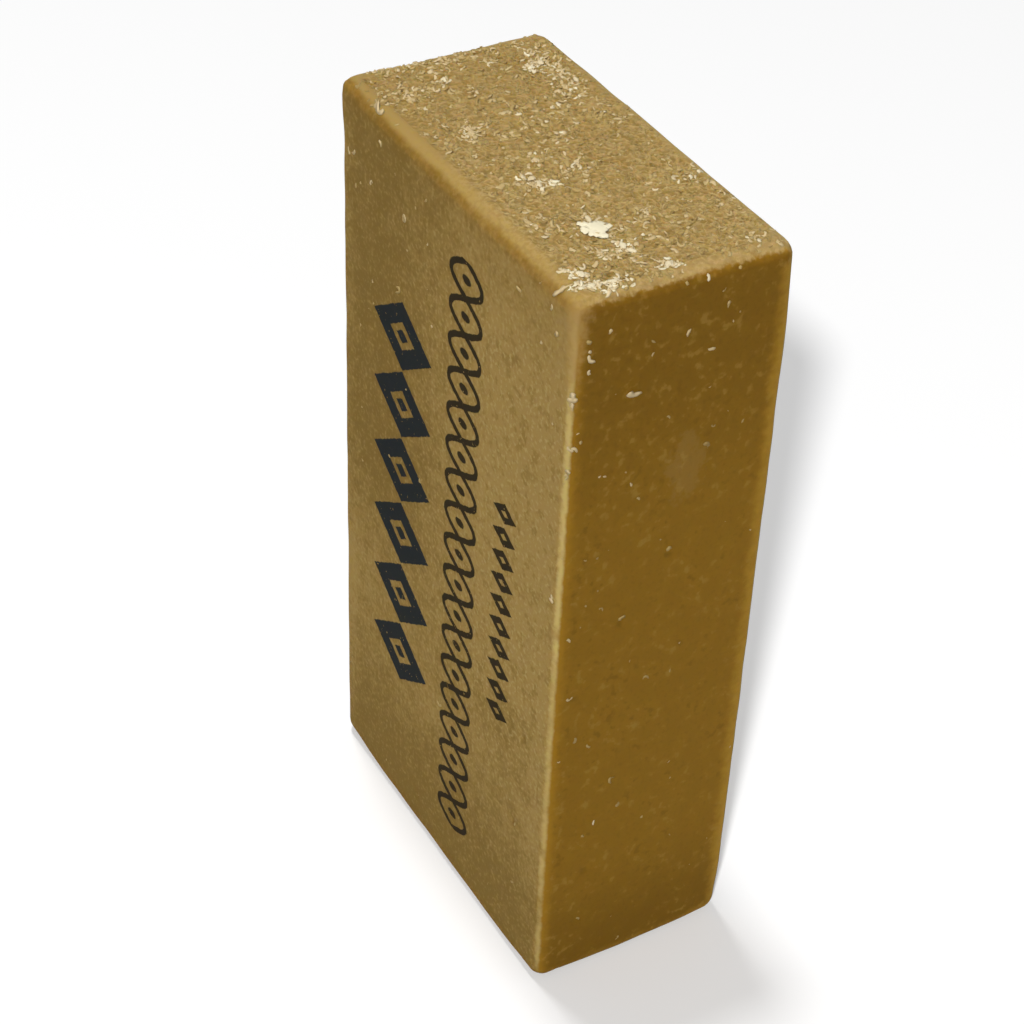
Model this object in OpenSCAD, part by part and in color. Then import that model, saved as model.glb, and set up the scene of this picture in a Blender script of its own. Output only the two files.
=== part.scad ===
// Gum eraser: one block of soft, crumbly gum, cut from a slab and tumbled until its edges are round.
// It stands on one end. The broad printed face looks along -Y, the length runs up +Z,
// and the origin is the centre of the end that it stands on. All sizes are in millimetres.

/* [Block] */
// Length of the block, from end to end
block_length = 49.5; // [30:0.5:80]
// Width of the broad face
block_width = 26; // [18:0.5:40]
// Thickness of the slab that the block is cut from
block_thickness = 13.3; // [9:0.1:22]

/* [Edges] */
// Radius that tumbling leaves on every edge and corner
edge_radius = 1.1; // [0.4:0.1:3]

/* [Hidden] */
// Facets of a full circle, for OpenSCAD's own preview
$fn = 64;
gum_tan = [0.63, 0.49, 0.24];
half_size = [block_width, block_thickness, block_length] / 2;
// Distance from the block's middle to the centre line of an edge's rounding, along X, Y and Z
core = half_size - [1, 1, 1] * edge_radius;
SIDES = [-1, 1];

// The three slabs that reach the six flat faces; each one stops short of the edges' roundings.
module flat_faces() {
    cube(2 * [half_size.x, core.y, core.z], center = true);
    cube(2 * [core.x, half_size.y, core.z], center = true);
    cube(2 * [core.x, core.y, half_size.z], center = true);
}

// The twelve rounded edges: four along each axis, as long as the flat faces between the corners.
module rounded_edges() {
    for (a = SIDES, b = SIDES) {
        translate([a * core.x, b * core.y, 0])
            cylinder(h = 2 * core.z, r = edge_radius, center = true);
        translate([a * core.x, 0, b * core.z])
            rotate([90, 0, 0])
                cylinder(h = 2 * core.y, r = edge_radius, center = true);
        translate([0, a * core.y, b * core.z])
            rotate([0, 90, 0])
                cylinder(h = 2 * core.x, r = edge_radius, center = true);
    }
}

// The eight corners, where three rounded edges meet.
module rounded_corners() {
    for (x = SIDES, y = SIDES, z = SIDES)
        translate([x * core.x, y * core.y, z * core.z])
            sphere(r = edge_radius);
}

module gum_block() {
    color(gum_tan)
        translate([0, 0, half_size.z])
            union() {
                flat_faces();
                rounded_edges();
                rounded_corners();
            }
}

gum_block();
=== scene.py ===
import math
import random

import bmesh
import bpy
from mathutils import Matrix, Vector, noise
from mathutils.bvhtree import BVHTree


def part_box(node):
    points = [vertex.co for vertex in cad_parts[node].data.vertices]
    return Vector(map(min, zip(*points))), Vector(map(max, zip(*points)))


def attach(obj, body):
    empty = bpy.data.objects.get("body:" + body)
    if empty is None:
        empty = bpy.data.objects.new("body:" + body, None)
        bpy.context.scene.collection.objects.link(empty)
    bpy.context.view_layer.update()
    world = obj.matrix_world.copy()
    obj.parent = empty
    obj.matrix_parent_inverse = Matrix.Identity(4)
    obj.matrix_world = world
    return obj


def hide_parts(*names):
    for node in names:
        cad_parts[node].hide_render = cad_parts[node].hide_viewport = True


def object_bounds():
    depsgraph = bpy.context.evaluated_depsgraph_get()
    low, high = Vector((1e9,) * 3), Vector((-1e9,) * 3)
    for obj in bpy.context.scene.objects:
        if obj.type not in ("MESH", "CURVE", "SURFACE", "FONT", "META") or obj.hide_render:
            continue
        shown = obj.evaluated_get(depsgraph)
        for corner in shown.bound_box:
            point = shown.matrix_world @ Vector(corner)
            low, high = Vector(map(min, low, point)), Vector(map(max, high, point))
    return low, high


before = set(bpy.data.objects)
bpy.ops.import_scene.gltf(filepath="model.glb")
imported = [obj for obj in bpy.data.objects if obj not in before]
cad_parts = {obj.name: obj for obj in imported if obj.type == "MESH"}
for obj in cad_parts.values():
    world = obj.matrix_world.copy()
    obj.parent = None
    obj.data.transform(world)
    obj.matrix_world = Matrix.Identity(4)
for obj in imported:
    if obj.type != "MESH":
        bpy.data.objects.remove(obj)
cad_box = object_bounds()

MM = 0.001

# ---------------------------------------------------------------------------------------------
# The camera: a phone held a hand's breadth above and to one side of the standing block.
# It is close, so the block's long edges run together towards the end that it stands on.
# ---------------------------------------------------------------------------------------------
CAMERA_PLACE = Vector((95.4, -59.7, 114.3)) * MM
CAMERA_AZIMUTH = math.radians(58.8)
CAMERA_ELEVATION = math.radians(38.4)
CAMERA_ROLL = math.radians(2.53)
CAMERA_LENS = 85.16
CAMERA_SENSOR = 36.0

camera_data = bpy.data.cameras.new("camera")
camera_data.sensor_width = CAMERA_SENSOR
camera_data.lens = CAMERA_LENS
camera_data.clip_start = 0.01
camera = bpy.data.objects.new("camera", camera_data)
bpy.context.scene.collection.objects.link(camera)
towards_camera = Vector((
    math.sin(CAMERA_AZIMUTH) * math.cos(CAMERA_ELEVATION),
    -math.cos(CAMERA_AZIMUTH) * math.cos(CAMERA_ELEVATION),
    math.sin(CAMERA_ELEVATION)))
level_view = (-towards_camera).to_track_quat("-Z", "Y").to_matrix()
tilted_view = level_view @ Matrix.Rotation(CAMERA_ROLL, 3, "Z")
camera.matrix_world = Matrix.Translation(CAMERA_PLACE) @ tilted_view.to_4x4()
bpy.context.scene.camera = camera
bpy.context.scene.view_settings.view_transform = "Standard"


# ---------------------------------------------------------------------------------------------
# The studio: a wide sheet of white card on a bench, lit by two soft boxes and the white room.
# The card shows white to the camera and keeps the block's shadow, and throws little light back.
# ---------------------------------------------------------------------------------------------
FLOOR_RADIUS = 1.2
WHITE = (1.0, 1.0, 1.0, 1)
CARD_PAPER = (0.94, 0.94, 0.94, 1)
CARD_BOUNCE = (0.34, 0.34, 0.34, 1)
CARD_GLOW = 0.05
ROOM_LIGHT = 0.18
# A lamp that lights a card square on at PLAIN_LEVEL shows the card's colour as it is
PLAIN_LEVEL = math.pi ** 2
# Each soft box: azimuth and elevation that it shines from, distance, width, and share of the light
SOFT_BOXES = {
    "key": (48.8, 38.5, 1.00, 0.06, 0.84),
    "overhead": (-88, 80, 1.20, 0.14, 0.45),
}


# How far apart noises with successive seeds are taken
SEED_STEP = 37.0


class Finish:
    """One material or world in the making. node() adds any shader node and wires what it is given."""

    def __init__(self, owner):
        self.owner = owner
        owner.use_nodes = True
        self.tree = owner.node_tree
        self.tree.nodes.clear()

    def node(self, kind, settings=None, inputs=None, output=0):
        added = self.tree.nodes.new(kind)
        for name, value in (settings or {}).items():
            if name == "stops":
                ramp = added.color_ramp
                while len(ramp.elements) < len(value):
                    ramp.elements.new(1.0)
                for element, (place, colour) in zip(ramp.elements, value):
                    element.position = place
                    element.color = colour
            else:
                setattr(added, name, value)
        for name, value in (inputs or {}).items():
            self.wire(added.inputs[name], value)
        return Signal(self, added.outputs[output]) if added.outputs else None

    def wire(self, socket, value):
        if isinstance(value, Signal):
            self.tree.links.new(value.socket, socket)
        else:
            socket.default_value = value

    def math(self, operation, *values, clamp=False):
        return self.node("ShaderNodeMath", {"operation": operation, "use_clamp": clamp},
                         dict(enumerate(values)))

    def parts(self, vector):
        """The x, y and z of a vector."""
        split = self.node("ShaderNodeSeparateXYZ", inputs={0: vector}).socket.node
        return [Signal(self, socket) for socket in split.outputs]

    def grain(self, place, size, detail=2.0, seed=0.0):
        """Soft noise from 0 to 1, whose lumps are about size across, in the units of place."""
        aside = self.node("ShaderNodeVectorMath", {"operation": "ADD"},
                          {0: place, 1: (SEED_STEP * seed,) * 3})
        return self.node("ShaderNodeTexNoise", inputs={"Vector": aside, "Scale": 1 / size,
                                                       "Detail": detail}, output="Fac")

    def mix_colours(self, share, first, second, blend="MIX"):
        return self.node("ShaderNodeMix", {"data_type": "RGBA", "blend_type": blend},
                         {0: share, 6: first, 7: second}, output=2)

    def shown_as(self, shader):
        self.node("ShaderNodeOutput" + type(self.owner).__name__, inputs={"Surface": shader})
        return self.owner


class Signal:
    """A shader socket that takes part in Python arithmetic: each operator adds a Math node."""

    def __init__(self, finish, socket):
        self.finish = finish
        self.socket = socket

    def __add__(self, other):
        return self.finish.math("ADD", self, other)

    def __radd__(self, other):
        return self.finish.math("ADD", other, self)

    def __sub__(self, other):
        return self.finish.math("SUBTRACT", self, other)

    def __rsub__(self, other):
        return self.finish.math("SUBTRACT", other, self)

    def __mul__(self, other):
        return self.finish.math("MULTIPLY", self, other)

    def __rmul__(self, other):
        return self.finish.math("MULTIPLY", other, self)

    def __truediv__(self, other):
        return self.finish.math("DIVIDE", self, other)

    def __rtruediv__(self, other):
        return self.finish.math("DIVIDE", other, self)

    def __mod__(self, other):
        return self.finish.math("FLOORED_MODULO", self, other)

    def __abs__(self):
        return self.finish.math("ABSOLUTE", self)

    def __pow__(self, other):
        return self.finish.math("POWER", self, other)

    def most(self, other):
        return self.finish.math("MAXIMUM", self, other)

    def least(self, other):
        return self.finish.math("MINIMUM", self, other)

    def rise(self, low, high):
        """0 below low, 1 above high and a smooth step between; it falls where low is above high."""
        if low > high:
            return 1 - self.rise(high, low)
        return self.finish.node("ShaderNodeMapRange", {"interpolation_type": "SMOOTHSTEP"},
                                {"Value": self, "From Min": low, "From Max": high})


def look_down(obj, azimuth, elevation, distance, target):
    """Puts a lamp on its stand: where it shines from, turned to the target."""
    a = math.radians(azimuth)
    e = math.radians(elevation)
    away = Vector((math.sin(a) * math.cos(e), -math.cos(a) * math.cos(e), math.sin(e)))
    obj.location = target + away * distance
    obj.rotation_mode = "QUATERNION"
    obj.rotation_quaternion = (-away).to_track_quat("-Z", "Y")


def looked_at(finish):
    """1 for light that goes straight to the eye or by way of a mirror or a glass, else 0."""
    eye, mirror, glass = (finish.node("ShaderNodeLightPath", output=f"Is {kind} Ray")
                          for kind in ("Camera", "Glossy", "Transmission"))
    return eye.most(mirror).most(glass)


def white_card():
    """Paper that shows white, with the shadow on it, and that throws less light on the block."""
    card = Finish(bpy.data.materials.new("white_card"))
    paper = card.node("ShaderNodeBsdfDiffuse", inputs={"Color": CARD_PAPER})
    glow = card.node("ShaderNodeEmission", inputs={"Color": WHITE})
    shown = card.node("ShaderNodeMixShader", inputs={0: CARD_GLOW, 1: paper, 2: glow})
    bounce = card.node("ShaderNodeBsdfDiffuse", inputs={"Color": CARD_BOUNCE})
    return card.shown_as(card.node("ShaderNodeMixShader",
                                   inputs={0: looked_at(card), 1: bounce, 2: shown}))


def white_room():
    """White walls to look at, which light the block dimly."""
    room = Finish(bpy.data.worlds.new("white_room"))
    light = room.node("ShaderNodeBackground", inputs={"Color": WHITE, "Strength": ROOM_LIGHT})
    wall = room.node("ShaderNodeBackground", inputs={"Color": WHITE})
    return room.shown_as(room.node("ShaderNodeMixShader",
                                   inputs={0: looked_at(room), 1: light, 2: wall}))


bpy.ops.object.select_all(action="DESELECT")
bpy.ops.mesh.primitive_circle_add(vertices=96, radius=FLOOR_RADIUS, fill_type="NGON")
floor = bpy.context.object
floor.name = "floor_card"
floor.data.materials.append(white_card())
bpy.context.scene.world = white_room()
block_middle = (cad_box[0] + cad_box[1]) / 2
for box_name, (azimuth, elevation, distance, width, share) in SOFT_BOXES.items():
    lamp_data = bpy.data.lights.new(box_name, "AREA")
    lamp_data.shape = "DISK"
    lamp_data.size = width
    lamp_data.energy = PLAIN_LEVEL * distance ** 2 * share
    lamp = bpy.data.objects.new(box_name, lamp_data)
    bpy.context.scene.collection.objects.link(lamp)
    look_down(lamp, azimuth, elevation, distance, block_middle)


# ---------------------------------------------------------------------------------------------
# The block: soft amber factice gum, sawn from a slab into a block and tumbled, so its edges are
# round. Handling has left a dusty film on the broad faces, the end that has been rubbed is torn
# and crumbly, and dark ink is stamped straight on one broad face.
# ---------------------------------------------------------------------------------------------
BLOCK_LOW, BLOCK_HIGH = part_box("gum_block")
BLOCK_SIZE = BLOCK_HIGH - BLOCK_LOW
WIDTH, THICKNESS, LENGTH = BLOCK_SIZE / MM
EDGE_RADIUS = 1.1
ROUND_STEPS = 8
# The edges are worn round by the corners. Away from them, over a stretch as long as EDGE_ENDS
# says, the lower and long edges grow tighter; one corner is crisp, and all are a little uneven
WORN_RADIUS = 1.06
TIGHT_RADIUS = 0.62
EDGE_ENDS = (-1.0, 6.0)
CRISP_RADIUS = 0.72
CRISP_CORNER = Vector((-12.7, -6.4, 49.2))
CRISP_REACH = (4.0, 1.0)
UNEVEN_EDGE = 0.10
UNEVEN_LENGTH = 2.5
FIT_STEPS = 10
# The cuts that divide the skin: the axis they cross, and the greatest length they leave, in mm
SKIN_CUTS = ((0, 0.25), (1, 0.25), (2, 3.0), (2, 0.34))
END_CUTS = 2
# The torn crust: its depth, and the sizes of its ridges, its flakes and its finest grain
CRUST_DEPTH = 0.12
RIDGE_SIZE = 0.50
FLAKE_SIZE = 0.60
GRAIN_SIZE = 0.14
SWAY_DEPTH = 0.05
SWAY_LENGTH = 6.0
PIT_SPACING = 1.6
PIT_RADIUS = 0.35
PIT_DEPTH = 0.14
PIT_STRENGTH = 0.4
DEEP_PITS = [Vector(place) for place in (
    (13, 0.2, 31.3), (13, -2.6, 27.5), (10.1, -6.65, 18.3),
    (9.4, -6.65, 10.8), (13, -3.7, 8.5), (-2.5, -6.65, 2.4))]
CHIP_PLACE = Vector((-12.5, -6.3, 49.2))
CHIP_RADIUS = 0.8
CHIP_DEPTH = 0.16
CHIP_LUMP = 0.35
# What counts as lying on the flat upper end, and the least weight that is worth a vertex
FLAT_END = LENGTH - 0.01
LEAST_WEIGHT = 0.002
# Without a seed, noise_vector would draw by the clock
NOISE_SEED = 7
noise.seed_set(NOISE_SEED)


def smooth(value, low, high):
    """0 at low, 1 at high and a smooth step between, whichever of them is the greater."""
    share = min(max((value - low) / (high - low), 0.0), 1.0)
    return share * share * (3 - 2 * share)


def divide_along(axis, piece_length):
    """Cuts the edges that run along one axis, so that no stretch is longer than piece_length."""
    mesh = bmesh.from_edit_mesh(bpy.context.object.data)
    for edge in mesh.edges:
        run = edge.verts[1].co - edge.verts[0].co
        edge.select = run.length > 2 * piece_length and abs(run[axis]) > 0.98 * run.length
    longest = max(edge.calc_length() for edge in mesh.edges if edge.select)
    bpy.ops.mesh.subdivide(number_cuts=math.ceil(longest / piece_length) - 1)


def divide_flat_end():
    """Cuts the flat of the upper end finer, for the torn crust."""
    mesh = bmesh.from_edit_mesh(bpy.context.object.data)
    for face in mesh.faces:
        face.select = face.normal.z > 0.99
    mesh.select_flush_mode()
    bpy.ops.mesh.subdivide(number_cuts=END_CUTS)


def weigh(name, weight_at):
    """A vertex group on the active object, from a function of the place in millimetres."""
    group = bpy.context.object.vertex_groups.new(name=name)
    for vertex in bpy.context.object.data.vertices:
        weight = weight_at(vertex.co / MM)
        if weight > LEAST_WEIGHT:
            group.add([vertex.index], min(weight, 1.0), "REPLACE")


def press(group, depth, lump_size=None):
    """Moves the skin inwards by up to depth where the group says, in lumps if a size is given."""
    bpy.ops.object.modifier_add(type="DISPLACE")
    displace = bpy.context.object.modifiers[-1]
    displace.vertex_group = group
    displace.strength = -depth * MM
    displace.mid_level = 0.0
    if lump_size:
        lumps = bpy.data.textures.new(group, "CLOUDS")
        lumps.noise_scale = lump_size * MM
        displace.texture = lumps
        displace.texture_coords = "LOCAL"
    bpy.ops.object.modifier_apply(modifier=displace.name)


def crust_cover(place):
    """Where the end is torn: all over it but for a smooth strip by the stamped face."""
    if place.z < FLAT_END:
        return 0.0
    ragged = noise.noise(place / 1.1) * 0.5
    front = smooth(place.y + THICKNESS / 2 + ragged + 0.9 * smooth(place.x, -5, -10), 0.8, 1.7)
    back = smooth(THICKNESS / 2 - place.y, 1.0, 1.2)
    sides = smooth(WIDTH / 2 - abs(place.x), 1.0, 1.2)
    return front * back * sides


def crust_height(place):
    """Height of the torn gum, from 0 in its gaps to 1: small flakes and curled ridges."""
    spot = place + noise.noise_vector(place / 0.7) * 0.22
    ridge = max(1 - abs(noise.noise(spot / RIDGE_SIZE)) * 4, 0)
    centre = noise.voronoi(spot / FLAKE_SIZE)[1][0]
    flake = 0.5 + 0.5 * noise.cell(centre * 9.1)
    height = 0.1 + 0.2 * flake + 0.65 * ridge + 0.25 * noise.noise(place / GRAIN_SIZE)
    return min(max(height, 0), 1)


def edge_fill(place):
    """How far to push the skin outwards for the true rounding of an edge or a corner."""
    half = BLOCK_SIZE / MM / 2
    spot = place - Vector((0, 0, half.z))
    core = Vector([max(EDGE_RADIUS - h, min(h - EDGE_RADIUS, s)) for h, s in zip(half, spot)])
    outward = spot - core
    if outward.length < EDGE_RADIUS / 2 or max(abs(part) for part in outward) > 0.999 * EDGE_RADIUS:
        return 0.0
    outward.normalize()
    to_corner = max(half.x - abs(spot.x), half.y - abs(spot.y), half.z - abs(spot.z))
    tight = smooth(to_corner, *EDGE_ENDS) * smooth(outward.z, 0.7, 0.0) * smooth(place.x, -13, -9)
    radius = WORN_RADIUS + (TIGHT_RADIUS - WORN_RADIUS) * tight
    radius = radius + (CRISP_RADIUS - radius) * smooth((place - CRISP_CORNER).length, *CRISP_REACH)
    radius = radius + UNEVEN_EDGE * noise.noise(place / UNEVEN_LENGTH)
    fill = 0.0
    for _ in range(FIT_STEPS):
        beyond = [max(abs(s) - h + radius, 0) for h, s in zip(half, spot + outward * fill)]
        fill += radius - math.hypot(*beyond)
    return max(fill, 0.0)


def pits(place):
    """Small scattered dents, and the few deeper ones."""
    if place.z > LENGTH - 1:
        return 0.0
    nearest, centres = noise.voronoi(place / PIT_SPACING)
    strength = PIT_STRENGTH * (noise.cell(centres[0] * 7.3) > 0.2)
    shallow = strength * smooth(nearest[0] * PIT_SPACING, PIT_RADIUS, 0.0)
    return max([shallow] + [smooth((place - pit).length, PIT_RADIUS, 0.1) for pit in DEEP_PITS])


bpy.ops.object.select_all(action="DESELECT")
bpy.ops.mesh.primitive_cube_add(size=1, location=(BLOCK_LOW + BLOCK_HIGH) / 2, scale=BLOCK_SIZE)
block = bpy.context.object
block.name = "tumbled_gum_block"
bpy.ops.object.transform_apply(location=True, rotation=True, scale=True)
bpy.ops.object.mode_set(mode="EDIT")
bpy.ops.mesh.select_mode(type="EDGE")
bpy.ops.mesh.select_all(action="SELECT")
bpy.ops.mesh.bevel(offset=EDGE_RADIUS * MM, segments=ROUND_STEPS, profile=0.5)
for axis, piece_length in SKIN_CUTS:
    divide_along(axis, piece_length * MM)
divide_flat_end()
bpy.ops.object.mode_set(mode="OBJECT")
heights = [crust_height(vertex.co / MM) if vertex.co.z > FLAT_END * MM
           else 0.5 - 0.5 * pits(vertex.co / MM) for vertex in block.data.vertices]
block.data.attributes.new("relief", "FLOAT", "POINT").data.foreach_set("value", heights)
weigh("crust", lambda place: crust_cover(place) * (1 - crust_height(place)))
weigh("edge_fill", edge_fill)
weigh("sway", lambda place: 1.0)
weigh("pits", pits)
weigh("chip", lambda place: 1 - smooth((place - CHIP_PLACE).length, 0.2, CHIP_RADIUS))
press("edge_fill", -1.0)
press("sway", SWAY_DEPTH, lump_size=SWAY_LENGTH)
press("pits", PIT_DEPTH)
press("chip", CHIP_DEPTH, lump_size=CHIP_LUMP)
press("crust", CRUST_DEPTH)
bpy.ops.object.shade_smooth()

# Colours of the gum: where it is deep, with painted shade in its pits and painted light and shade
# on its lumps, and near its edges, where light shines through it; the dust on the broad faces where
# it lies thick and thin, whose mix there also paints light and shade; the pale line on the long
# edges, partly a painted highlight; the torn end, with painted shade in its gaps and a painted
# highlight on its rim; and the stamping ink
DEEP_AMBER = (0.252, 0.130, 0.0095, 1)
DARK_AMBER = (0.180, 0.090, 0.006, 1)
EDGE_AMBER = (0.325, 0.172, 0.013, 1)
GLOW_AMBER = (0.430, 0.240, 0.026, 1)
LUMP_HIGHLIGHT = (0.320, 0.190, 0.033, 1)
THICK_DUST = (0.352, 0.225, 0.066, 1)
THIN_DUST = (0.207, 0.125, 0.026, 1)
CREST_DUST_AND_HIGHLIGHT = (0.51, 0.39, 0.140, 1)
END_GAP = (0.240, 0.153, 0.044, 1)
END_GUM = (0.328, 0.217, 0.070, 1)
END_FLAKE = (0.490, 0.352, 0.150, 1)
FRONT_RIM_HIGHLIGHT = (0.39, 0.262, 0.080, 1)
SIDE_RIM_HIGHLIGHT = (0.42, 0.287, 0.105, 1)
STAMP_BLACK = (0.010, 0.015, 0.018, 1)
STAMP_BROWN = (0.014, 0.010, 0.005, 1)
# A faint dusty smudge on the narrow side
SMUDGE = {"y": 0.7, "z": 37.2, "half_width": 1.4, "half_height": 2.2}
# How far light travels under the skin of the gum: in red, green and blue, and in millimetres
LIGHT_SPREAD = (1.0, 0.45, 0.1)
LIGHT_DEPTH = 0.35
SHEEN = 0.04
TOOTH_DEPTH = 0.05

# The stamp: three rows of plain ornament that run up the broad face. All in millimetres: how
# far across the face a row's middle lies, and where along the block it starts and ends. The
# share of a repeat that a lozenge fills, and of a lozenge that its hole and its centre take.
LOZENGE_ROW = {"middle": -5.05, "start": 10.5, "end": 39.1, "count": 6, "half_height": 3.5,
               "fill": 0.49, "hole": 0.41, "centre": 0.2}
WAVE_ROW = {"middle": 2.1, "start": 3.8, "end": 45.8, "count": 9, "half_height": 1.68,
            "line": 0.20, "dot": 0.29, "dot_stretch": 0.35}
BEAD_ROW = {"middle": 7.0, "start": 17.0, "end": 33.2, "count": 10, "half_height": 1.25,
            "fill": 0.42, "hole": 0.30}
INK_CREEP = 0.07
INK_EDGE = 0.06
BEAD_EDGE = 0.05


def along_row(row, z):
    """Place within one repeat of a row, the length of a repeat, and a mask of the row's reach."""
    pitch = (row["end"] - row["start"]) / row["count"]
    local = (z - row["start"]) % pitch - pitch / 2
    reach = z.rise(row["start"] - 0.01, row["start"]) * z.rise(row["end"] + 0.01, row["end"])
    return local, pitch, reach


def open_lozenges(row, x, z, soft):
    """How far from the middle of a lozenge a place is, 1 at its rim, and the ink of the rims."""
    local, pitch, reach = along_row(row, z)
    ring = abs(x - row["middle"]) / row["half_height"] + abs(local) / (pitch * row["fill"])
    rim_ink = ring.rise(1 + soft, 1 - soft) * ring.rise(row["hole"] - soft, row["hole"] + soft)
    return ring, rim_ink, reach


def lozenges(x, z):
    """Bold open lozenges with a small solid one inside, point to point."""
    soft = INK_EDGE / LOZENGE_ROW["half_height"]
    ring, rim_ink, reach = open_lozenges(LOZENGE_ROW, x, z, soft)
    centre_ink = ring.rise(LOZENGE_ROW["centre"] + soft, LOZENGE_ROW["centre"] - soft)
    return rim_ink.most(centre_ink) * reach


def waves(x, z):
    """Two thin waved lines that cross and recross, with a dot in each gap between them."""
    local, pitch, reach = along_row(WAVE_ROW, z)
    turn = local * (2 * math.pi / pitch)
    swing = x.finish.math("SINE", turn) * WAVE_ROW["half_height"]
    slope = x.finish.math("COSINE", turn) * (WAVE_ROW["half_height"] * 2 * math.pi / pitch)
    steep = (slope * slope + 1) ** 0.5
    off_middle = x - WAVE_ROW["middle"]
    off_line = abs(off_middle - swing).least(abs(off_middle + swing)) / steep
    line = off_line.rise(WAVE_ROW["line"] + INK_EDGE / 2, WAVE_ROW["line"] - INK_EDGE / 2)
    along_gap = abs(local) - pitch / 4
    off_dot = (off_middle * off_middle * WAVE_ROW["dot_stretch"] + along_gap * along_gap) ** 0.5
    dot = off_dot.rise(WAVE_ROW["dot"] + INK_EDGE / 2, WAVE_ROW["dot"] - INK_EDGE / 2)
    return line.most(dot) * reach


def beads(x, z):
    """A short row of small open lozenges."""
    _, rim_ink, reach = open_lozenges(BEAD_ROW, x, z, BEAD_EDGE)
    return rim_ink * reach


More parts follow.
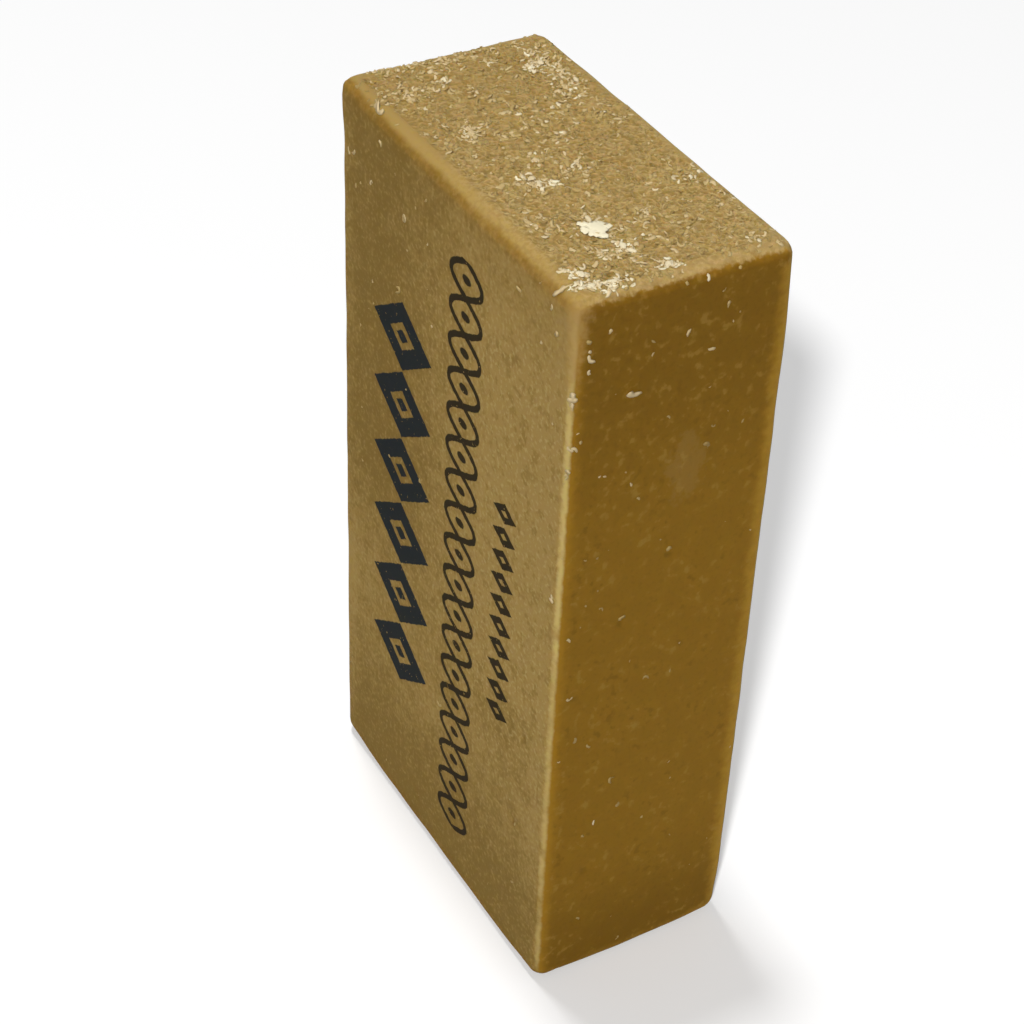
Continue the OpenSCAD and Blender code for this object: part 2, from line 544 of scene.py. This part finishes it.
def gum_finish():
    """Amber gum under a film of dust, torn and pale at its upper end, stamped on one broad face."""
    gum = Finish(bpy.data.materials.new("gum"))
    mm = gum.node("ShaderNodeMapping", inputs={
        "Vector": gum.node("ShaderNodeTexCoord", output="Object"), "Scale": (1 / MM,) * 3})
    x, y, z = gum.parts(mm)
    relief = gum.node("ShaderNodeAttribute", {"attribute_name": "relief"}, output="Fac")
    sideways = WIDTH / 2 - abs(x)
    across = THICKNESS / 2 - abs(y)
    along = z.least(LENGTH - z)
    edge = sideways.least(across).most(sideways.most(across).least(along))
    clouds = gum.grain(mm, 6.0, 3)
    mottle = gum.grain(mm, 1.3, 4, seed=3)
    ragged = gum.grain(mm, 0.55, 3, seed=4) - 0.5
    fleck = gum.grain(mm, 0.28, 3, seed=5)
    pocks = gum.grain(mm, 0.55, 2, seed=6)

    # The gum itself, on the narrow sides: darker near both ends, brighter by the edges
    dark = (z.rise(32, 46) * 0.6).most(z.rise(10, 0.5) * 0.85) + mottle.rise(0.60, 0.40) * 0.15
    amber = gum.mix_colours(dark + fleck.rise(0.5, 0.3) * 0.25, DEEP_AMBER, DARK_AMBER)
    # Painted light and shade for lumps and dents on the narrow side: dark sides on the pocks, pale tops
    # on the lumps
    painted_relief = (mottle + z.rise(30, 44) * 0.08 + y.rise(-3, -6) * 0.08).rise(0.42, 0.62)
    amber = gum.mix_colours(pocks.rise(0.44, 0.30) * painted_relief * 0.7, amber, DARK_AMBER)
    amber = gum.mix_colours(pocks.rise(0.55, 0.70) * painted_relief * 0.55, amber, LUMP_HIGHLIGHT)
    glow = gum.mix_colours(y.rise(4.0, 6.2), EDGE_AMBER, GLOW_AMBER)
    rim_width = 1.1 + 0.3 * y.rise(3, 6) - 0.5 * (LENGTH - z).rise(1.6, 0.8)
    lit = ((edge + ragged * 0.9) / rim_width).rise(1.0, 0.10) * (0.65 + 0.35 * y.rise(0, 5))
    amber = gum.mix_colours(lit, amber, glow)
    smudge_y = (y - SMUDGE["y"]) / SMUDGE["half_width"]
    smudge_z = (z - SMUDGE["z"]) / SMUDGE["half_height"]
    smudge = smudge_y * smudge_y + smudge_z * smudge_z
    smudge = (smudge + (mottle - 0.5) * 4 + (fleck - 0.5) * 2).rise(1.2, 0.2) * x.rise(12, 12.8)
    amber = gum.mix_colours(smudge * 0.22, amber, THICK_DUST)
    # Painted shade in the pits and dents of the narrow side
    amber = gum.mix_colours(relief.rise(0.45, 0.1) * 0.7, amber, DARK_AMBER)

    # The dust on the broad faces, worn off by the ends. Its mask also paints light and shade on them:
    # paler half way up and towards one side, darker towards the top and the foot
    # Painted light and shade: upper is paler towards one side and darker by the top; lower is darker
    # towards the foot
    upper = x.rise(-9, 8) * (0.95 - 0.3 * z.rise(42, 48)) + 0.08
    lower = z.rise(2, 14) * 0.62
    dust_and_light = lower + (upper - lower) * z.rise(17, 25)
    dust_and_light = dust_and_light + x.rise(-10, -12.3) * 0.35 + x.rise(9.5, 12.3) * 0.22 + (clouds - 0.5) * 0.4
    dust_and_light = dust_and_light + (mottle - 0.5) * 0.9 + (pocks - 0.5) * 0.7 + (fleck - 0.5) * 1.1
    # The film runs from its dark colour, in painted shade and thin dust, to its pale colour, in painted
    # light and thick dust
    dust = gum.mix_colours(dust_and_light.rise(-0.1, 1.1), THIN_DUST, THICK_DUST)
    grainy = 0.15 + 0.3 * x.rise(-6, 8) * z.rise(8, 24) * (LENGTH - z).rise(2, 8)
    dust = gum.mix_colours(pocks.rise(0.50, 0.32) * grainy, dust, THIN_DUST)
    dust = gum.mix_colours(fleck.rise(0.52, 0.68) * grainy, dust, CREST_DUST_AND_HIGHLIGHT)
    broad = (sideways - across + ragged * 0.35).rise(-0.24, 0.08)
    film = broad * (0.45 + 0.55 * (along + ragged * 0.9).rise(0.2, 1.7))
    # A pale line along the long edges of the broad faces: worn dust and a painted highlight on the crest
    # of the rounding
    crest = broad * (sideways + ragged * 0.4).rise(0.55, 0.28) * (0.35 + 0.65 * z.rise(45, 43))
    crest = crest * along.rise(0.4, 2.0) * (0.62 + 0.38 * z.rise(23, 28))
    colour = gum.mix_colours(film, amber, dust)
    colour = gum.mix_colours(crest * mottle.rise(0.15, 0.55), colour, CREST_DUST_AND_HIGHLIGHT)
    # Painted shade in the pits and dents of the broad faces
    colour = gum.mix_colours(relief.rise(0.4, 0.0) * broad * 0.6, colour, DARK_AMBER)
    # Paler near the top of the near long edge: knocked wear and a painted highlight, in the side rim's
    # colour
    knocked_wear_and_highlight = sideways.most(across) + (LENGTH - z) * 0.14 + ragged * 1.2 + (fleck - 0.5) * 0.8
    knocked_wear_and_highlight = knocked_wear_and_highlight.rise(1.3, 0.5) * x.rise(0, 1) * y.rise(0, -1)
    colour = gum.mix_colours(knocked_wear_and_highlight * 0.5, colour, SIDE_RIM_HIGHLIGHT)

    # The torn end, with a painted highlight along its rounded rim
    under = sideways.least(across) - (LENGTH - z)
    crisp_end = (under + 0.1 + ragged * 0.5 + (fleck - 0.5) * 0.6).rise(-0.28, 0.12)
    soft_end = (under - x.rise(-9, -13) * 0.5 + ragged * 0.4 + (mottle - 0.5) * 0.4).rise(-0.35, 0.25)
    by_side = (sideways - across).rise(0.5, -0.5)
    end = crisp_end * by_side + soft_end * (1 - by_side)
    # Painted shade in the gaps of the torn crust
    torn = gum.mix_colours(relief.rise(0.05, 0.40), END_GAP, END_GUM)
    torn = gum.mix_colours(relief.rise(0.5, 1.0) * 0.8, torn, END_FLAKE)
    from_front = (y + THICKNESS / 2 - x.rise(2, -8) * 0.8).rise(0.3, 1.2)
    # Painted highlight along the rounded rim of the end, in another colour along the narrow sides
    rim = gum.mix_colours(sideways.rise(1.3, 0.9) * y.rise(-5.8, -3.5), FRONT_RIM_HIGHLIGHT, SIDE_RIM_HIGHLIGHT)
    torn = gum.mix_colours(sideways.least(across).rise(1.2, 0.5), torn, rim)
    worms = abs(gum.grain(mm, 0.50, 2, seed=8) - 0.5)
    torn = gum.mix_colours(worms.rise(0.06, 0.01) * from_front * 0.5, torn, END_FLAKE)
    # Painted shade between the curled flakes
    torn = gum.mix_colours(worms.rise(0.08, 0.20) * from_front * 0.35, torn, END_GAP)
    # Dark specks, and darker towards the left end
    torn = gum.mix_colours((fleck.rise(0.62, 0.38) * 0.35).most(x.rise(10, -12) * 0.40), torn, END_GAP)
    colour = gum.mix_colours(end, colour, torn)

    # The stamp
    creep_x = x + (gum.grain(mm, 0.35, 2, seed=11) - 0.5) * (2 * INK_CREEP)
    creep_z = z + (gum.grain(mm, 0.35, 2, seed=12) - 0.5) * (2 * INK_CREEP)
    takes = (y + THICKNESS / 2).rise(0.6, 0.2) * gum.grain(mm, 0.22, 3, seed=14).rise(0.74, 0.68)
    bold = lozenges(creep_x, creep_z) * takes
    fine = waves(creep_x, creep_z).most(beads(creep_x, creep_z)) * takes
    colour = gum.mix_colours(bold * 0.98, colour, STAMP_BLACK)
    colour = gum.mix_colours(fine * 0.96, colour, STAMP_BROWN)

    roughness = 0.7 + film * 0.15 + (fleck - 0.5) * 0.15
    tooth = fleck * 0.35 + mottle * 0.6
    bump = gum.node("ShaderNodeBump", inputs={
        "Strength": 0.5, "Distance": TOOTH_DEPTH * MM, "Height": tooth})
    return gum.shown_as(gum.node("ShaderNodeBsdfPrincipled", inputs={
        "Base Color": colour, "Roughness": roughness, "Normal": bump, "Specular IOR Level": SHEEN,
        "Subsurface Weight": 1.0, "Subsurface Radius": LIGHT_SPREAD,
        "Subsurface Scale": LIGHT_DEPTH * MM}))


block.data.materials.append(gum_finish())
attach(block, "root")
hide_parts("gum_block")


# ---------------------------------------------------------------------------------------------
# The crumbs: flakes, curled slivers and grains of gum that rubbing has rolled off the end. They
# cling all over it, in drifts by its corners, and a few have strayed on to the sides. Each is
# the same gum gone dry, from tan to nearly white, held by its own stickiness.
# ---------------------------------------------------------------------------------------------
# Each kind of crumb: its length, width and thickness in millimetres, and how far it is curled
CRUMB_KINDS = {
    "chip": (0.30, 0.22, 0.07, 30),
    "flake": (0.44, 0.22, 0.07, 90),
    "bent_flake": (0.56, 0.18, 0.07, 140),
    "sliver": (0.50, 0.15, 0.06, 110),
    "curl": (0.72, 0.15, 0.07, 210),
    "crumb": (0.22, 0.18, 0.11, 20),
}
# How often each kind is drawn, in the order above, and the length of a middling crumb
CRUMB_SHARES = (3, 4, 3, 3, 3, 3)
CRUMB_LENGTH = 0.46
CRUMB_ROUGHNESS = 0.035
# How deep a crumb sticks in the gum, and how near the rim of the end a drift comes
CRUMB_SINK = 0.01
RIM_CLEARANCE = 0.4
# The colour of a crumb by its paleness, from 0 to 1
DARK_CRUMB = (0.29, 0.193, 0.066, 1)
TAN_CRUMB = (0.43, 0.305, 0.115, 1)
CREAM_CRUMB = (0.60, 0.47, 0.27, 1)
WHITE_CRUMB = (0.77, 0.70, 0.50, 1)
CRUMB_SHADES = ((0.0, DARK_CRUMB), (0.35, TAN_CRUMB), (0.7, CREAM_CRUMB), (1.0, WHITE_CRUMB))
END_CRUMB_TRIES = 3300
# Drifts on the end: from, to, how wide, how many crumbs are thrown and how pale they are
DRIFTS = [
    ((11.2, -6.0), (12.4, -3.4), 0.45, 80, 0.85),
    ((10.1, -5.4), (10.8, -4.7), 0.35, 26, 0.85),
    ((11.6, -1.1), (11.9, -0.1), 0.40, 28, 0.80),
    ((9.1, -3.4), (10.1, -1.5), 0.45, 50, 0.60),
    ((9.0, -1.7), (9.9, -1.7), 0.35, 20, 0.80),
    ((1.2, -2.9), (2.8, -2.4), 0.45, 44, 0.70),
    ((2.0, -2.1), (2.6, -1.7), 0.35, 16, 0.80),
    ((6.0, -2.4), (8.6, -1.4), 1.00, 70, 0.50),
    ((-11.3, 4.6), (-5.0, 4.4), 0.8, 110, 0.60),
    ((-9.6, 4.3), (-8.8, 3.4), 0.5, 40, 0.85),
    ((-10.0, -5.2), (-8.7, -3.8), 0.6, 46, 0.50),
    ((-9.9, -2.3), (-9.7, -1.3), 0.3, 14, 0.75),
    ((-4.4, -2.6), (-3.6, -3.6), 0.5, 40, 0.60),
    ((-12.3, -4.9), (-11.4, 2.0), 0.7, 70, 0.55),
    ((11.0, 5.0), (11.8, 4.5), 0.3, 10, 0.60),
    ((-11.6, -6.8), (-11.2, -6.9), 0.25, 8, 0.90),
]
# Single crumbs on the stamped face, as place across, place along, length and paleness
FACE_CRUMBS = [
    (-8.7, 49.2, 0.70, 0.9), (-7.8, 47.7, 0.60, 0.8), (-11.7, 45.3, 0.50, 0.8), (-11.0, 45.5, 0.45, 0.7),
    (-8.9, 44.8, 0.40, 0.9), (-5.1, 44.5, 0.50, 0.6), (-4.8, 44.6, 0.50, 0.8), (-5.4, 39.6, 0.40, 0.5),
    (-8.6, 36.9, 0.30, 0.5), (7.6, 47.2, 0.60, 0.6), (10.9, 49.1, 0.70, 0.9), (10.7, 48.0, 0.50, 0.8),
    (11.2, 46.8, 0.50, 0.7), (9.9, 45.5, 0.40, 0.8), (-1.6, 39.5, 0.45, 0.8), (-10.2, 44.0, 0.30, 0.5),
    (-2.5, 47.0, 0.30, 0.4), (12.2, 30.5, 0.45, 1.0), (12.2, 30.2, 0.50, 1.0), (9.5, 10.7, 0.40, 0.5),
    (-2.5, 2.4, 0.35, 0.4), (0.2, 12.6, 0.40, 0.5), (-10.3, 34.4, 0.35, 0.5), (-10.1, 28.5, 0.30, 0.5),
    (-2.7, 28.0, 0.30, 0.4), (8.9, 12.3, 0.30, 0.5), (-10.8, 43.6, 0.30, 0.5), (-4.6, 42.7, 0.30, 0.5),
]
# The same on the narrow side
SIDE_CRUMBS = [
    (-4.6, 47.4, 0.50, 0.8), (-5.8, 47.1, 0.45, 0.6), (-5.7, 46.5, 0.45, 0.9), (-5.7, 46.0, 0.55, 0.9),
    (-5.7, 45.2, 0.45, 0.9), (-3.0, 43.0, 0.80, 0.9), (-0.6, 40.9, 0.35, 0.6), (-2.0, 46.0, 0.35, 0.4),
    (-6.1, 41.6, 0.35, 0.8), (-5.9, 41.0, 0.35, 0.7), (-6.2, 40.6, 0.40, 0.9), (-4.6, 38.4, 0.30, 0.9),
    (-4.3, 38.3, 0.35, 0.8), (-3.0, 38.1, 0.30, 0.6), (4.2, 39.0, 0.30, 0.5), (-0.4, 32.6, 0.30, 0.5),
    (0.2, 31.8, 0.40, 0.5), (-5.2, 33.0, 0.30, 0.5), (-4.4, 32.8, 0.30, 0.4), (-4.9, 29.7, 0.40, 0.5),
    (-4.2, 30.5, 0.30, 0.4), (-2.5, 27.9, 0.40, 0.5), (-5.9, 27.7, 0.45, 0.8), (-1.7, 24.4, 0.30, 0.5),
    (-0.6, 22.8, 0.45, 0.5), (1.1, 22.5, 0.30, 0.4), (-5.6, 23.1, 0.40, 0.8), (-5.0, 19.8, 0.40, 0.4),
    (-4.1, 18.9, 0.40, 0.6), (-2.4, 15.6, 0.40, 0.4), (-1.7, 13.2, 0.35, 0.4), (0.1, 11.3, 0.35, 0.6),
    (-3.3, 12.4, 0.40, 1.0), (-4.0, 11.6, 0.45, 0.4), (2.3, 8.7, 0.30, 0.4), (2.5, 46.9, 0.45, 0.7),
    (0.2, 46.0, 0.40, 0.8), (1.7, 44.4, 0.40, 0.8), (1.1, 48.9, 0.35, 1.0), (-0.2, 48.9, 0.30, 0.6),
    (3.0, 48.9, 0.35, 0.6), (2.1, 38.2, 0.60, 0.3), (-0.8, 1.2, 0.30, 0.6), (-3.9, 4.5, 0.30, 0.5),
]
# The same on the long edge between the two, as place along, length and paleness
EDGE_CRUMBS = [
    (44.0, 0.65, 0.9), (43.7, 0.60, 0.8), (43.4, 0.60, 0.9), (43.2, 0.45, 0.6), (40.6, 0.40, 0.8),
    (39.2, 0.50, 0.8), (38.9, 0.40, 0.7), (33.5, 0.30, 0.5), (20.5, 0.30, 0.5),
]
STRAY_CRUMBS = 120
# Pressed scraps, as place across, place through, length, width, turn and paleness. The first six
# together make one white patch
SCRAPS = [
    (7.30, -2.10, 0.84, 0.55, 35, 1.0), (6.75, -2.45, 0.50, 0.22, -50, 1.0),
    (7.90, -2.25, 0.50, 0.30, -35, 1.0), (7.20, -2.70, 0.42, 0.20, 15, 1.0),
    (7.45, -1.55, 0.40, 0.18, 70, 1.0), (6.35, -2.00, 0.40, 0.12, 10, 0.8),
    (11.75, -5.10, 0.34, 0.16, 55, 0.9), (11.90, -4.00, 0.40, 0.15, 80, 0.9),
    (10.60, -5.00, 0.24, 0.20, 20, 0.9), (9.30, -1.75, 0.36, 0.16, 10, 0.9),
    (9.90, -1.60, 0.26, 0.14, -30, 0.9), (2.20, -2.55, 0.36, 0.16, 15, 0.8),
    (1.60, -2.60, 0.26, 0.18, 70, 0.75), (11.75, -0.60, 0.30, 0.16, 60, 0.85),
    (-9.20, 4.20, 0.30, 0.18, 40, 0.8), (-6.60, 5.00, 0.30, 0.15, 10, 0.8),
]
SCRAP_FLATNESS = 0.06
dice = random.Random(7)


def make_crumb(name, length, width, thickness, curl):
    """One crumb: a bar with uneven sides that narrows to its ends, rolled up by the curl angle."""
    bpy.ops.object.select_all(action="DESELECT")
    bpy.ops.mesh.primitive_cube_add(size=1, scale=Vector((length, width, thickness)) * MM)
    bpy.ops.object.transform_apply(location=False, rotation=False, scale=True)
    bpy.ops.object.mode_set(mode="EDIT")
    divide_along(0, length * MM / 4)
    mesh = bmesh.from_edit_mesh(bpy.context.object.data)
    bpy.ops.mesh.select_mode(type="VERT")
    for vertex in mesh.verts:
        vertex.select = abs(vertex.co.x) > length * MM * 0.49
    mesh.select_flush_mode()
    bpy.ops.transform.resize(value=(1, 0.5, 0.5))
    bpy.ops.mesh.select_all(action="SELECT")
    bpy.ops.transform.vertex_random(offset=CRUMB_ROUGHNESS * MM, seed=len(name))
    bpy.ops.object.mode_set(mode="OBJECT")
    bpy.ops.object.modifier_add(type="SIMPLE_DEFORM")
    bend = bpy.context.object.modifiers[-1]
    bend.deform_method = "BEND"
    bend.deform_axis = "Z"
    bend.angle = math.radians(curl)
    bpy.ops.object.modifier_apply(modifier=bend.name)
    bpy.ops.object.shade_smooth()
    bpy.context.object.name = name
    return bpy.context.object


def make_scrap(place, length, width, turn, paleness):
    """A scrap of gum pressed flat on the end: a ball drawn out to ragged points, then flattened."""
    bpy.ops.object.select_all(action="DESELECT")
    bpy.ops.mesh.primitive_uv_sphere_add(segments=40, ring_count=14, radius=1)
    bpy.ops.transform.resize(value=(length * 0.7 * MM, width * 0.7 * MM, width * 0.7 * MM))
    bpy.ops.object.transform_apply(location=True, rotation=True, scale=True)
    weigh("points", lambda spot: 0.45 + 0.9 * noise.noise((spot + place / MM) / (0.7 * width))
          + 0.7 * noise.noise((spot - place / MM) / (0.22 * width)))
    press("points", -0.65 * width)
    bpy.ops.transform.resize(value=(1, 1, SCRAP_FLATNESS / width))
    bpy.ops.transform.rotate(value=math.radians(turn), orient_axis="Z", center_override=(0, 0, 0))
    bpy.ops.transform.translate(value=place)
    bpy.ops.object.shade_smooth()
    tint(bpy.context.object, paleness)


def tint(crumb, paleness):
    """Gives a crumb its paleness, and counts it among those laid."""
    values = [min(max(paleness, 0), 1)] * len(crumb.data.vertices)
    crumb.data.attributes.new("paleness", "FLOAT", "POINT").data.foreach_set("value", values)
    laid.append(crumb)


def crumb_finish():
    """Dry gum, as pale as each crumb's own paleness says."""
    dry = Finish(bpy.data.materials.new("dry_crumbs"))
    paleness = dry.node("ShaderNodeAttribute", {"attribute_name": "paleness"}, output="Fac")
    colour = dry.node("ShaderNodeValToRGB", {"stops": CRUMB_SHADES}, {"Fac": paleness}, output="Color")
    return dry.shown_as(dry.node("ShaderNodeBsdfPrincipled", inputs={
        "Base Color": colour, "Roughness": 0.85, "Specular IOR Level": 0.1}))


def lay(place, outward, paleness, size=1.0, tilt=0.5):
    """A copy of a crumb, with its own mesh, laid where a ray from outside meets the block."""
    spot, normal, *_ = block_skin.ray_cast((place + outward * 20) * MM, -outward)
    if spot is None:
        return
    crumb = dice.choices(crumb_kinds, CRUMB_SHARES)[0].copy()
    crumb.data = crumb.data.copy()
    bpy.context.scene.collection.objects.link(crumb)
    turn = normal.to_track_quat("Z", "Y").to_matrix()
    turn = turn @ Matrix.Rotation(dice.uniform(0, 6.28), 3, "Z")
    turn = turn @ Matrix.Rotation(dice.gauss(0, tilt), 3, "X")
    turn = turn @ Matrix.Rotation(dice.gauss(0, tilt * 0.7), 3, "Y")
    crumb.matrix_world = (Matrix.Translation(spot - normal * CRUMB_SINK * MM) @ turn.to_4x4()
                          @ Matrix.Scale(size * dice.uniform(0.7, 1.25), 4))
    tint(crumb, paleness)


def heap(name):
    """Joins the crumbs laid so far into one piece that rides on the block."""
    bpy.ops.object.select_all(action="DESELECT")
    for crumb in laid:
        crumb.select_set(True)
    bpy.context.view_layer.objects.active = laid[0]
    bpy.ops.object.join()
    bpy.ops.object.transform_apply(location=True, rotation=True, scale=True)
    piece = bpy.context.object
    piece.name = name
    piece.data.materials.append(dry_crumbs)
    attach(piece, "root")
    laid.clear()


dry_crumbs = crumb_finish()
crumb_kinds = [make_crumb(name, *size) for name, size in CRUMB_KINDS.items()]
block_skin = BVHTree.FromObject(block, bpy.context.evaluated_depsgraph_get())
UP = Vector((0, 0, 1))
FRONT = Vector((0, -1, 0))
RIGHT = Vector((1, 0, 0))
NEAR_EDGE = (FRONT + RIGHT).normalized()
laid = []
for _ in range(END_CRUMB_TRIES):
    place = Vector((dice.uniform(-1, 1) * (WIDTH / 2 - 0.3),
                    dice.uniform(-1, 1) * (THICKNESS / 2 - 0.3), LENGTH))
    cover = smooth(place.y + THICKNESS / 2 + smooth(place.x, -5, -10), 0.6, 2.1)
    cover = cover * (0.85 + 0.6 * noise.noise(place / 1.3))
    cover = cover * smooth(THICKNESS / 2 - place.y, 0.5, 1.0)
    cover = cover * smooth(WIDTH / 2 - abs(place.x), 0.3, 0.7)
    if dice.random() < cover:
        patch = smooth(noise.noise(place / 2.2 + UP * 7), -0.15, 0.35)
        lay(place, UP, dice.betavariate(1.5, 4.6 - 2.0 * patch), 0.68 + 0.3 * patch, 0.25)
heap("end_crumbs")
for start, stop, spread, count, paleness in DRIFTS:
    for _ in range(count):
        share = dice.random()
        scatter = Vector((dice.gauss(0, spread), dice.gauss(0, spread))) * 0.6
        place = Vector(start).lerp(Vector(stop), share) + scatter
        if min(WIDTH / 2 - abs(place.x), THICKNESS / 2 - abs(place.y)) > RIM_CLEARANCE:
            lay(place.to_3d() + UP * LENGTH, UP, dice.gauss(paleness, 0.15), 0.85, 0.35)
heap("drifted_crumbs")
for x, y, *form in SCRAPS:
    make_scrap(Vector((x, y, LENGTH)) * MM, *form)
heap("pressed_scraps")
for across, along, length, paleness in FACE_CRUMBS:
    lay(Vector((across, 0, along)), FRONT, paleness * 0.7, length / CRUMB_LENGTH, 0.3)
for across, along, length, paleness in SIDE_CRUMBS:
    lay(Vector((0, across, along)), RIGHT, paleness ** 2 * 0.85, length / CRUMB_LENGTH, 0.3)
near_corner = Vector((WIDTH, -THICKNESS, 0)) / 2
for along, length, paleness in EDGE_CRUMBS:
    lay(near_corner + UP * along, NEAR_EDGE, paleness * 0.8, length / CRUMB_LENGTH, 0.3)
for _ in range(STRAY_CRUMBS):
    outward = dice.choice([FRONT, -FRONT, -FRONT, RIGHT, -RIGHT, -RIGHT])
    place = Vector((dice.uniform(-0.95, 0.95) * WIDTH / 2, dice.uniform(-0.95, 0.95) * THICKNESS / 2,
                    LENGTH * (1 - dice.random() ** 1.3)))
    lay(place, outward, dice.uniform(0.1, 0.6), dice.uniform(0.3, 0.6))
heap("strayed_crumbs")
for kind in crumb_kinds:
    bpy.data.objects.remove(kind)
